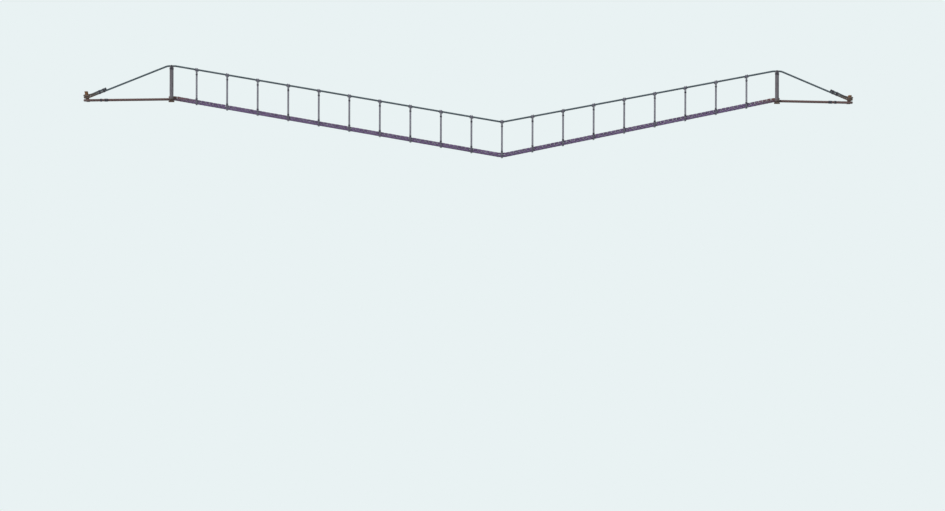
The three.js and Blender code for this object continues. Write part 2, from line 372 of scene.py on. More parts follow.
def at_x(line: Path, x: float) -> tuple[Vector, float]:
    """Gives the point and the slope at x of a line that runs along the bridge."""
    a, b = next((a, b) for a, b in zip(line, line[1:]) if a.x <= x < b.x)
    return a.lerp(b, (x - a.x) / (b.x - a.x)), (b.z - a.z) / (b.x - a.x)


def walked(line: Path, distance: float) -> Vector:
    """Gives the point at a distance along a line.

    Args:
        line: Points of the line.
        distance: The distance from its start.

    Returns:
        The point.
    """
    for a, b in zip(line, line[1:]):
        step = (b - a).length
        if distance <= step:
            return a.lerp(b, distance / step)
        distance -= step
    return line[-1]


class Route:
    """A line in space, with axes across it that follow it without a twist."""

    STEP = 0.008
    EASE = 3

    def __init__(self, points: Path, closed: bool = False) -> None:
        """Samples the line at even steps and smooths the samples.

        Args:
            points: Points of the line.
            closed: Whether the last point joins the first.
        """
        corners = np.array([tuple(point) for point in points])
        if closed:
            corners = np.vstack([corners, corners[:1]])
        reach = self._lengths(corners)
        line = self._at(np.linspace(0, reach[-1], round(reach[-1] / self.STEP) + 1), reach, corners)
        for _ in range(self.EASE):
            before, after = self._neighbours(line, closed)
            eased = (before + 2 * line + after) / 4
            if not closed:
                eased[[0, -1]] = line[[0, -1]]
            line = eased
        before, after = self._neighbours(line, closed)
        self.points = line
        self.lengths = self._lengths(line)
        self.length = float(self.lengths[-1])
        self.tangents = (after - before) / np.linalg.norm(after - before, axis=1)[:, None]
        self.normals = self._carried(closed)
        self.binormals = np.cross(self.tangents, self.normals)

    @staticmethod
    def _neighbours(line: np.ndarray, closed: bool) -> tuple[np.ndarray, np.ndarray]:
        """Gives the points before and after each point; an open line's ends are their own."""
        before, after = (line[-2:-1], line[1:2]) if closed else (line[:1], line[-1:])
        return np.vstack([before, line[:-1]]), np.vstack([line[1:], after])

    @staticmethod
    def _lengths(points: np.ndarray) -> np.ndarray:
        """Gives the distance along the line at each of its points."""
        steps = np.linalg.norm(np.diff(points, axis=0), axis=1)
        return np.concatenate([[0.0], np.cumsum(steps)])

    @staticmethod
    def _at(where: np.ndarray, lengths: np.ndarray, values: np.ndarray) -> np.ndarray:
        """Reads values between the points of the line."""
        return np.column_stack([np.interp(where, lengths, values[:, axis]) for axis in range(3)])

    def _carried(self, closed: bool) -> np.ndarray:
        """Carries an axis across the line from its start to its end.

        Args:
            closed: Whether the axis has to come back to where it started.

        Returns:
            The axis at each point.
        """
        aside = np.eye(3)[0 if abs(self.tangents[0][0]) < 0.7 else 1]
        normals = np.empty_like(self.tangents)
        for index, tangent in enumerate(self.tangents):
            aside = aside - tangent * float(aside @ tangent)
            aside = aside / math.sqrt(float(aside @ aside))
            normals[index] = aside
        if closed:
            across = np.cross(self.tangents, normals)
            turned = math.atan2(float(normals[-1] @ across[0]), float(normals[-1] @ normals[0]))
            angle = (-turned * self.lengths / self.lengths[-1])[:, None]
            normals = normals * np.cos(angle) + across * np.sin(angle)
        return normals

    def lay(self, mesh: Mesh) -> None:
        """Bends a mesh that stands along Z from the origin, so that it follows the line.

        Args:
            mesh: The mesh.
        """
        x, y, along = points_of(mesh).astype(float).T
        placed = self._at(along, self.lengths, self.points)
        placed += x[:, None] * self._at(along, self.lengths, self.normals)
        placed += y[:, None] * self._at(along, self.lengths, self.binormals)
        mesh.vertices.foreach_set("co", placed.astype(np.float32).ravel())
        mesh.update()


def points_of(mesh: Mesh) -> np.ndarray:
    """Reads the points of a mesh.

    Args:
        mesh: The mesh.

    Returns:
        A row for each point.
    """
    flat = np.empty(len(mesh.vertices) * 3, np.float32)
    mesh.vertices.foreach_get("co", flat)
    return flat.reshape(-1, 3)


def verts_of(geom: Iterable[object]) -> list[bmesh.types.BMVert]:
    """Gives the points out of what an operator made."""
    return [item for item in geom if isinstance(item, bmesh.types.BMVert)]


def finished(bm: bmesh.types.BMesh, name: str) -> Mesh:
    """Turns the faces of a shape outwards and makes it a mesh.

    Args:
        bm: The shape, which is freed.
        name: Name of the mesh.

    Returns:
        The mesh.
    """
    bmesh.ops.recalc_face_normals(bm, faces=bm.faces[:])
    mesh = bpy.data.meshes.new(name)
    bm.to_mesh(mesh)
    bm.free()
    return mesh


def added(name: str, data: bpy.types.ID | None) -> bpy.types.Object:
    """Adds an object to the scene.

    Args:
        name: Its name.
        data: What it shows.

    Returns:
        The object.
    """
    made = bpy.data.objects.new(name, data)
    bpy.context.scene.collection.objects.link(made)
    return made


def evaluated(*made: bpy.types.Object) -> Mesh:
    """Gives the final mesh of the first of some objects, and removes them all.

    Args:
        *made: The objects.

    Returns:
        The mesh.
    """
    graph = bpy.context.evaluated_depsgraph_get()
    mesh = bpy.data.meshes.new_from_object(made[0].evaluated_get(graph))
    for item in made:
        bpy.data.objects.remove(item)
    return mesh


@dataclass(frozen=True)
class LaidRope:
    """Rope laid up from three strands.

    The lobe is the outline of one strand, as angles from its crown in degrees and shares of the
    radius. The lay is the length in which a strand goes round once, in diameters, and the steps are
    the rings in a third of it.
    """

    radius: float
    lobe: Outline
    steps: int
    phase: float = 0.0
    lay: float = 3.4

    def straight(self, length: float, looped: bool = False) -> Mesh:
        """Builds a straight rope that stands on the origin.

        Args:
            length: The rope's length.
            looped: Whether its ends are left open and fit each other, for a closed loop.

        Returns:
            The mesh, with a UV map in metres round and along, and each point's share of the radius.
        """
        bm = bmesh.new()
        outline = sorted((angle % 120, share) for angle, share in self.lobe)
        corners = [(strand * 120 + angle, share) for strand in range(3) for angle, share in outline]
        bmesh.ops.create_circle(bm, cap_ends=False, segments=len(corners), radius=self.radius)
        ring = sorted(bm.verts, key=lambda vert: math.atan2(vert.co.y, vert.co.x) % (2 * math.pi))
        for vert, (angle, share) in zip(ring, corners):
            turned = math.radians(angle + self.phase)
            vert.co = Vector((math.cos(turned), math.sin(turned), 0)) * self.radius * share
        # After a third of the lay the section comes back to itself
        third = self.lay * 2 * self.radius / 3
        climb = {"dvec": (0, 0, third / self.steps), "angle": 2 * math.pi / 3, "steps": self.steps}
        bmesh.ops.spin(bm, geom=bm.verts[:] + bm.edges[:], use_merge=False, **climb, **ROUND_Z)
        thirds = round(length / third) if looped else math.ceil(length / third)
        made = 1
        while made < thirds:
            copied = bmesh.ops.duplicate(bm, geom=bm.verts[:] + bm.edges[:] + bm.faces[:])["geom"]
            bmesh.ops.translate(bm, vec=(0, 0, made * third), verts=verts_of(copied))
            made *= 2
        bmesh.ops.remove_doubles(bm, verts=bm.verts[:], dist=self.radius * 0.02)
        end = thirds * third if looped else length
        plane = {"dist": TINY, "plane_co": (0, 0, end), "plane_no": (0, 0, 1), "clear_outer": True}
        bmesh.ops.bisect_plane(bm, geom=bm.verts[:] + bm.edges[:] + bm.faces[:], **plane)
        if looped:
            bmesh.ops.scale(bm, vec=(1, 1, length / end), verts=bm.verts[:])
        else:
            bmesh.ops.holes_fill(bm, edges=[edge for edge in bm.edges if edge.is_boundary], sides=0)
        mesh = finished(bm, "straight_rope")
        self._mark(mesh)
        return mesh

    def _mark(self, mesh: Mesh) -> None:
        """Writes the UV map, in metres, and each point's share of the radius.

        Args:
            mesh: The straight rope.
        """
        x, y, along = points_of(mesh).T
        crown = mesh.attributes.new("crown", "FLOAT", "POINT")
        crown.data.foreach_set("value", (np.hypot(x, y) / self.radius).astype(np.float32))
        corners = np.empty(len(mesh.loops), np.int32)
        mesh.loops.foreach_get("vertex_index", corners)
        totals = np.empty(len(mesh.polygons), np.int32)
        mesh.polygons.foreach_get("loop_total", totals)
        angle = np.arctan2(y, x)[corners]
        # A face takes its angles from near that of its first corner, so that none crosses the seam
        first = np.repeat(angle[np.concatenate([[0], np.cumsum(totals)[:-1]])], totals)
        angle = first + (angle - first + math.pi) % (2 * math.pi) - math.pi
        uv = np.column_stack([angle * self.radius, along[corners]])
        mesh.uv_layers.new(name="UVMap").data.foreach_set("uv", uv.astype(np.float32).ravel())


def cord_mesh(paths: Iterable[Path], radius: float) -> Mesh:
    """Builds round cord along a number of paths.

    Args:
        paths: The points that each cord follows.
        radius: The cord's radius.

    Returns:
        One mesh of all the cords.
    """
    curve = bpy.data.curves.new("cord", "CURVE")
    curve.dimensions = "3D"
    curve.bevel_depth = radius
    curve.bevel_resolution = 1
    curve.use_fill_caps = True
    for path in paths:
        spline = curve.splines.new("POLY")
        spline.points.add(len(path) - 1)
        spline.points.foreach_set("co", [value for point in path for value in (*point, 1.0)])
    mesh = evaluated(added("cord", curve))
    bpy.data.curves.remove(curve)
    return mesh


@dataclass(frozen=True)
class Binding:
    """Cord bound round one rope, or round two that lie side by side.

    The ropes run along, one lies across from the other by twice the half gap, and the cord's centre
    line keeps its reach from each rope's. A half gap of 0 is for one rope.
    """

    along: Vector
    across: Vector
    half_gap: float
    reach: float
    turns: int
    pitch: float

    def path(self, centre: Vector) -> Path:
        """Gives the path of the cord.

        Args:
            centre: Middle of the binding.

        Returns:
            The points of the path.
        """
        along = self.along.normalized()
        across = (self.across - along * self.across.dot(along)).normalized()
        third = along.cross(across)
        ring = [(angle, 0) for angle in range(-90, 270, 20)]
        if self.half_gap:
            ring = [(angle, 1) for angle in range(-90, 91, 30)]
            ring += [(angle, -1) for angle in range(90, 271, 30)]
        path = []
        for index in range(self.turns * len(ring)):
            angle, sign = ring[index % len(ring)]
            turned = math.radians(angle)
            rise = (index / len(ring) - self.turns / 2) * self.pitch
            aside = self.reach * math.cos(turned) + sign * self.half_gap
            path.append(centre + along * rise + across * aside + third * (self.reach * math.sin(turned)))
        return path


def mark_timber(mesh: Mesh, trunk: np.ndarray, tones: Sequence[float]) -> None:
    """Stores where each point of a timber lay in its trunk, for the grain, and its own tone.

    Args:
        mesh: The timber's mesh.
        trunk: A row for each point: two places across the trunk, from its heart, and one along it.
        tones: A tone from 0 to 1 for each point.
    """
    grain = mesh.attributes.new("trunk", "FLOAT_VECTOR", "POINT")
    grain.data.foreach_set("vector", np.float32(trunk).ravel())
    mesh.attributes.new("tone", "FLOAT", "POINT").data.foreach_set("value", tones)


def sawn_block(size: tuple[float, float, float], cuts: int, worn: float) -> bmesh.types.BMesh:
    """Builds a block with worn edges, cut across its length.

    Args:
        size: Width along X, length along Y and height.
        cuts: Number of cuts across its length.
        worn: Width of its worn edges.

    Returns:
        The block, round the origin.
    """
    bm = bmesh.new()
    bmesh.ops.create_cube(bm, size=1.0)
    bmesh.ops.scale(bm, vec=size, verts=bm.verts[:])
    along = [edge for edge in bm.edges if abs(edge.verts[0].co.y - edge.verts[1].co.y) > size[1] / 2]
    bmesh.ops.subdivide_edges(bm, edges=along, cuts=cuts, use_grid_fill=True)
    sharp = [edge for edge in bm.edges if edge.calc_face_angle(0.0) > 1.0]
    kind = {"offset_type": "OFFSET", "affect": "EDGES", "material": -1, "clamp_overlap": True}
    bmesh.ops.bevel(bm, geom=sharp, offset=worn, segments=2, profile=0.5, **kind)
    return bm


def piece(name: str, mesh: Mesh, finish: Material, slot: Slot, *replaced: str) -> None:
    """Makes a mesh a piece of the bridge, shaded smooth.

    Args:
        name: The piece's name.
        mesh: Its mesh, in place.
        finish: Its material.
        slot: The record's slot that it takes its finish from. It is not used.
        *replaced: Nodes of the frame that it stands for.
    """
    mesh.name = name
    mesh.materials.clear()
    mesh.materials.append(finish)
    mesh.shade_smooth()
    made = added(name, mesh)
    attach(made, "root")
    if replaced:
        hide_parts(*replaced)
    LOG.info("%s: %d faces", name, len(mesh.polygons))


def linear(colour: str) -> tuple[float, float, float, float]:
    """Turns an sRGB hex colour into a linear one.

    Args:
        colour: Six hex digits after a hash.

    Returns:
        Red, green and blue, with an alpha of 1.
    """
    parts = [int(colour[start : start + 2], 16) / 255 for start in (1, 3, 5)]
    red, green, blue = (c / 12.92 if c <= 0.04045 else ((c + 0.055) / 1.055) ** 2.4 for c in parts)
    return red, green, blue, 1.0


def fill(node: bpy.types.Node, inputs: dict[str | int, object]) -> None:
    """Sets inputs of a node.

    Args:
        node: The node.
        inputs: A value or another node's output for each input that is set.
    """
    for name, value in inputs.items():
        if isinstance(value, Socket):
            node.id_data.links.new(value, node.inputs[name])
        else:
            node.inputs[name].default_value = value


def add_node(
    tree: bpy.types.NodeTree,
    kind: str,
    inputs: dict[str | int, object] | None = None,
    output: str | int = 0,
    stops: Sequence[tuple[float, str]] = (),
    **settings: object,
) -> Socket:
    """Adds a node with its settings and links.

    Args:
        tree: The node tree.
        kind: The node's type, without its prefix.
        inputs: A value or another node's output for each input that is set.
        output: The output that is asked for.
        stops: Places and colours of a colour ramp.
        **settings: The node's own properties.

    Returns:
        The node's output.
    """
    made = tree.nodes.new("ShaderNode" + kind)
    for name, value in settings.items():
        setattr(made, name, value)
    fill(made, inputs or {})
    if stops:
        elements = made.color_ramp.elements
        while len(elements) < len(stops):
            elements.new(1.0)
        for element, (place, colour) in zip(elements, stops):
            element.position = place
            element.color = linear(colour)
    return made.outputs[output]


def new_material(name: str) -> tuple[Material, Add, bpy.types.Node]:
    """Starts a material.

    Args:
        name: The material's name.

    Returns:
        The material, what adds nodes to it, and its shader.
    """
    material = bpy.data.materials.new(name)
    material.use_nodes = True
    tree = material.node_tree
    return material, partial(add_node, tree), tree.nodes["Principled BSDF"]


def near_banks(
    add: Add, place: Socket, layout: Layout, reach: tuple[float, float], share: float
) -> Socket:
    """Gives a share that grows along the bridge towards both banks.

    Args:
        add: Adds a node.
        place: Where the point is.
        layout: Places of the bridge.
        reach: Distances inwards from the posts where the share starts and where it is whole.
        share: The whole share.

    Returns:
        The share, which is 0 over the middle of the span.
    """
    middle = layout.span / 2
    x = add("SeparateXYZ", {0: place}, "X")
    off = add("Math", {0: x, 1: middle}, operation="SUBTRACT")
    far = add("Math", {0: off}, operation="ABSOLUTE")
    return add("MapRange", {"Value": far, 1: middle - reach[0], 2: middle - reach[1], 4: share})


@dataclass(frozen=True)
class LaidHemp:
    """Hemp rope, hand laid from three strands and tarred: dull, with worn crowns and with dark grooves, from
    tar and from painted shade.

    The yarn is the width of one in metres, and the soil sticks to what lies low behind the posts.
    """

    name: str
    groove: str
    strand: str
    crown: str
    yarn: float
    soil: str | None = None

    def build(self, layout: Layout) -> Material:
        """Builds the material: yarns run along the rope, and weather has bleached it in patches.

        Args:
            layout: Places of the bridge.

        Returns:
            The material.
        """
        material, add, shader = new_material(self.name)
        uv = add("UVMap", uv_map="UVMap")
        stretch = (1 / self.yarn, 1 / (self.yarn * 14), 1.0)
        along = add("Mapping", {"Vector": uv, "Scale": stretch})
        twisted = {"Vector": along, "Scale": 1.0, "Detail": 3.0, "Roughness": 0.7}
        yarns = add("TexNoise", twisted)
        # Fibres are finer than a millimetre and are drawn at a third of a yarn so that they show
        fibres = {"Vector": along, "Scale": 3.0, "Detail": 2.0, "Distortion": 0.8}
        hair = add("TexNoise", fibres)
        # The crowns are worn lighter, and the grooves are darker from tar and from painted shade
        lay = add("Attribute", output="Fac", attribute_name="crown")
        lit = ((0.60, self.groove), (0.82, self.strand), (1.0, self.crown))
        worn = add("ValToRGB", {"Fac": lay}, stops=lit)
        shade = add("MapRange", {"Value": yarns, 1: 0.3, 2: 0.7, 3: 0.45, 4: 1.5})
        fuzz = add("MapRange", {"Value": hair, 1: 0.3, 2: 0.7, 3: 0.7, 4: 1.3})
        lights = add("Math", {0: shade, 1: fuzz}, operation="MULTIPLY")
        toned = add("Mix", {0: 1.0, 6: worn, 7: lights}, 2, **TIMES)
        place = add("TexCoord", output="Object")
        # Patches of about 0.4 m, where rain and hands have bleached the tar
        weather = {"Vector": place, "Scale": 2.6, "Detail": 4.0, "Roughness": 0.65}
        patches = add("TexNoise", weather)
        bleach = add("MapRange", {"Value": patches, 1: 0.42, 2: 0.7, 4: 0.4})
        colour = add("Mix", {0: bleach, 6: toned, 7: linear(self.crown)}, 2, **MIXED)
        if self.soil:
            behind = near_banks(add, place, layout, (0.75, -0.1), 0.85)
            z = add("SeparateXYZ", {0: place}, "Z")
            low = add("MapRange", {"Value": z, 1: 0.34, 2: 0.14})
            share = add("Math", {0: behind, 1: low}, operation="MULTIPLY")
            earthy = add("Mix", {0: 1.0, 6: linear(self.soil), 7: shade}, 2, **TIMES)
            colour = add("Mix", {0: share, 6: colour, 7: earthy}, 2, **MIXED)
        height = add("Math", {0: hair, 1: 0.35, 2: yarns}, operation="MULTIPLY_ADD")
        bump = add("Bump", {"Height": height, "Strength": 0.9, "Distance": self.yarn * 0.5})
        dull = {"Roughness": 0.88, "Sheen Weight": 0.12, "Sheen Roughness": 0.6}
        fill(shader, {"Base Color": colour, "Normal": bump, **dull})
        return material


@dataclass(frozen=True)
class HempTwine:
    """Thin twisted hemp twine for bindings: dark between its light fibres, dull and a little hairy."""

    name: str
    dark: str
    light: str

    def build(self) -> Material:
        """Builds the material: fibres of about a millimetre break up the colour.

        Returns:
            The material.
        """
        material, add, shader = new_material(self.name)
        place = add("TexCoord", output="Object")
        grit = {"Vector": place, "Scale": 520.0, "Detail": 3.0, "Roughness": 0.7}
        fibres = add("TexNoise", grit)
        stops = ((0.34, self.dark), (0.66, self.light))
        colour = add("ValToRGB", {"Fac": fibres}, stops=stops)
        bump = add("Bump", {"Height": fibres, "Strength": 0.5, "Distance": 0.0008})
        fill(shader, {"Base Color": colour, "Normal": bump, "Roughness": 0.9, "Sheen Weight": 0.1})
        return material


@dataclass(frozen=True)
class WeatheredTimber:
    """Softwood, sawn or peeled and left in the weather: pale ridges of late wood, dark gaps and cracks.

    The pattern lies in the trunk that a piece was cut from, so growth rings show as lines on its
    sides and as arcs on its ends. Soil stains it up to a height, and feet tread earth onto it.
    """

    name: str
    dark: str
    middle: str
    light: str
    stain: str
    ends: str = "Y"
    ring: float = 0.0035
    ring_share: float = 0.5
    soil_top: float | None = None
    trodden: str | None = None

    def build(self, layout: Layout) -> Material:
        """Builds the material: growth rings, fibres, drying cracks, stains and a tone for each piece.

        Args:
            layout: Places of the bridge.

        Returns:
            The material.
        """
        material, add, shader = new_material(self.name)
        curved = {"Distortion": 7.0, "Detail": 3.0, "Detail Scale": 0.11, "Detail Roughness": 0.55}
        # The rings' period is 0.314 at a scale of 1
        growth = {"Vector": self._grain(add, 1.0, 0.12), "Scale": 0.314 / self.ring, **curved}
        drawn = {"wave_type": "RINGS", "rings_direction": "Z", "wave_profile": "SAW"}
        rings = add("TexWave", growth, "Fac", **drawn)
        # Fibres are finer than a millimetre and are drawn a millimetre wide so that they show
        fibres = self._marks(add, 900.0, 11.0)
        streaks = self._marks(add, 34.0, 1.7)
        cracks = self._marks(add, 150.0, 5.0, detail=1.0)
        grain = add("Mix", {0: 1 - self.ring_share, 2: rings, 3: fibres}, data_type="FLOAT")
        stops = ((0.22, self.dark), (0.5, self.middle), (0.78, self.light))
        wood = add("ValToRGB", {"Fac": grain}, stops=stops)
        streaky = add("MapRange", {"Value": streaks, 1: 0.48, 2: 0.75, 4: 0.85})
        colour = add("Mix", {0: streaky, 6: wood, 7: linear(self.stain)}, 2, **MIXED)
        own = add("Attribute", output="Fac", attribute_name="tone")
        tone = add("MapRange", {"Value": own, 3: 0.72, 4: 1.3})
        colour = add("Mix", {0: 1.0, 6: colour, 7: tone}, 2, **TIMES)
        # The ends soak up water and turn darker than the sides, and their cracks don't show as lines
        normal = add("TexCoord", output="Normal")
        toward = add("SeparateXYZ", {0: normal}, self.ends)
        level = add("Math", {0: toward}, operation="ABSOLUTE")
        soaked = add("MapRange", {"Value": level, 1: 0.7, 2: 0.85, 3: 0.0, 4: 0.45})
        sides = add("MapRange", {"Value": level, 1: 0.7, 2: 0.85, 3: 1.0, 4: 0.0})
        split = add("MapRange", {"Value": cracks, 1: 0.645, 2: 0.68})
        crack = add("Math", {0: split, 1: sides}, operation="MULTIPLY")
        deep = add("Math", {0: crack, 1: soaked}, operation="MAXIMUM")
        colour = add("Mix", {0: deep, 6: colour, 7: linear(self.dark)}, 2, **MIXED)
        place = add("TexCoord", output="Object")
        if self.trodden:
            earth = near_banks(add, place, layout, (0.75, 0.05), 0.86)
            # The earth lies dark in the soft wood, and feet scrub the ridges between
            shade = add("MapRange", {"Value": grain, 1: 0.2, 2: 0.8, 3: 0.5, 4: 1.45})
            lights = add("Math", {0: shade, 1: tone}, operation="MULTIPLY")
            soil = add("Mix", {0: 1.0, 6: linear(self.trodden), 7: lights}, 2, **TIMES)
            colour = add("Mix", {0: earth, 6: colour, 7: soil}, 2, **MIXED)
        if self.soil_top:
            # Most soil sticks low down, with a ragged edge
            z = add("SeparateXYZ", {0: place}, "Z")
            ragged = add("TexNoise", {"Vector": place, "Scale": 14.0, "Detail": 3.0})
            edge = add("Math", {0: ragged, 1: -self.soil_top, 2: z}, operation="MULTIPLY_ADD")
            limits = {1: self.soil_top * 0.5, 2: -self.soil_top * 0.2}
            soiled = add("MapRange", {"Value": edge, **limits})
            colour = add("Mix", {0: soiled, 6: colour, 7: linear(self.stain)}, 2, **MIXED)
        height = add("Math", {0: crack, 1: -1.6, 2: grain}, operation="MULTIPLY_ADD")
        bump = add("Bump", {"Height": height, "Strength": 0.7, "Distance": 0.0012})
        rough = add("MapRange", {"Value": grain, 3: 0.95, 4: 0.7})
        fill(shader, {"Base Color": colour, "Normal": bump, "Roughness": rough})
        return material

    @staticmethod
    def _grain(add: Add, across: float, along: float) -> Socket:
        """Gives the place in the trunk, scaled across and along the grain."""
        trunk = add("Attribute", output="Vector", attribute_name="trunk")
        return add("Mapping", {"Vector": trunk, "Scale": (across, across, along)})

    def _marks(self, add: Add, across: float, along: float, detail: float = 3.0) -> Socket:
        """Draws marks stretched along the grain, by their number in a metre across and along it."""
        pattern = {"Vector": self._grain(add, across, along), "Scale": 1.0, "Detail": detail}
        return add("TexNoise", {**pattern, "Roughness": 0.6})


class Finishes:
    """All the materials of the bridge."""

    def __init__(self, layout: Layout) -> None:
        """Builds every material once.

        Args:
            layout: Places of the bridge.
        """
        soil = "#4a3220"
        # Poles show the outside of the trunk, where fibres are plain and rings hardly are
        peeled = {"ends": "Z", "ring_share": 0.25}
        hand = LaidHemp("tarred_hemp_rope", "#0d1315", "#2d373d", "#49555c", 0.0045, soil)
        foot = LaidHemp("tarred_hemp_foot_rope", "#24182e", "#503b5f", "#725a80", 0.0055, soil)
        sling = LaidHemp("weathered_hemp_sling", "#1d1a22", "#453f4f", "#68616f", 0.003)
        violet = ("#372641", "#60466e", "#876a94", "#3c2a47")
        boards = WeatheredTimber("sawn_plank_weathered", *violet, trodden="#6c4a38")
        brown = ("#2a1b13", "#503627", "#71533f", "#35231a")
        sills = WeatheredTimber("hewn_sill_soiled", *brown, soil_top=0.03)
        grey = ("#322e33", "#5a545a", "#7f787f", "#44352e")
        posts = WeatheredTimber("peeled_pole_weathered", *grey, soil_top=0.16, **peeled)
        tan = ("#2f1c0e", "#5e3c1e", "#845b34", "#3a2416")
        stakes = WeatheredTimber("peeled_stake_soiled", *tan, soil_top=0.10, **peeled)
        self.twine = HempTwine("tarred_hemp_twine", "#18151a", "#3d3743").build()
        self.main_ropes = {Rope.HAND: hand.build(layout), Rope.FOOT: foot.build(layout)}
        self.sling_rope, self.boards, self.sills, self.posts, self.stakes = (
            finish.build(layout) for finish in (sling, boards, sills, posts, stakes)
        )


@dataclass
class SubAssembly:
    """Pieces of the bridge that belong together."""

    layout: Layout
    finishes: Finishes


@dataclass
class MainRopes(SubAssembly):
    """The two hand ropes and the two foot ropes, with the bindings of their loose ends.

    The steps are the rings in a third of a hand rope's and a foot rope's lay.
    """

    lobe: Outline = ((-60, 0.60), (-36, 0.80), (-12, 0.98), (12, 0.98), (36, 0.80))
    hand_steps: int = 7
    foot_steps: int = 8
    far_phase: float = 60.0
    twine_radius: float = 0.0035
    seizing_turns: int = 7
    seizings_past_throat: tuple[float, float] = (0.035, 0.155)
    whipping_turns: int = 5
    whipping_before_tip: float = 0.026

    def build(self) -> None:
        """Builds the ropes and their bindings."""
        for side in Side:
            for rope in Rope:
                route = Route(self.layout.line(rope, side))
                # The far rope's strands lie over the near rope's grooves, seen from the side
                phase = self.far_phase if side is Side.FAR else 0.0
                steps = self.hand_steps if rope is Rope.HAND else self.foot_steps
                mesh = LaidRope(self.layout.radius(rope), self.lobe, steps, phase).straight(route.length)
                route.lay(mesh)
                node = f"{side.label}_{rope.label}_rope"
                piece(f"{node}_strands", mesh, self.finishes.main_ropes[rope], Slot.MAIN_ROPE, node)
                ends = [self.layout.end(rope, landing, side) for landing in Landing]
                twine = cord_mesh([path for end in ends for path in self._bindings(end)], self.twine_radius)
                piece(f"{node}_seizings", twine, self.finishes.twine, Slot.MAIN_ROPE)

    def _bindings(self, end: RopeEnd) -> list[Path]:
        """Gives the twine of one rope end: bindings round both parts, and a whipping at the tip.

        Args:
            end: The rope end.

        Returns:
            The paths of the twine.
        """
        tie, along, aside = end.turn_point(0), end.along, end.aside
        half_gap = (aside - along * aside.dot(along)).length / 2
        reach = end.radius + self.twine_radius * TWINE_REACH
        pitch = TWINE_PITCH * self.twine_radius
        seizing = Binding(along, aside, half_gap, reach, self.seizing_turns, pitch)
        whipping = Binding(along, aside, 0.0, reach, self.whipping_turns, pitch)
        middle = tie + aside / 2
        paths = [seizing.path(middle + along * (end.throat + past)) for past in self.seizings_past_throat]
        tip = tie + along * (end.loose_tip - self.whipping_before_tip) + aside
        return [*paths, whipping.path(tip)]


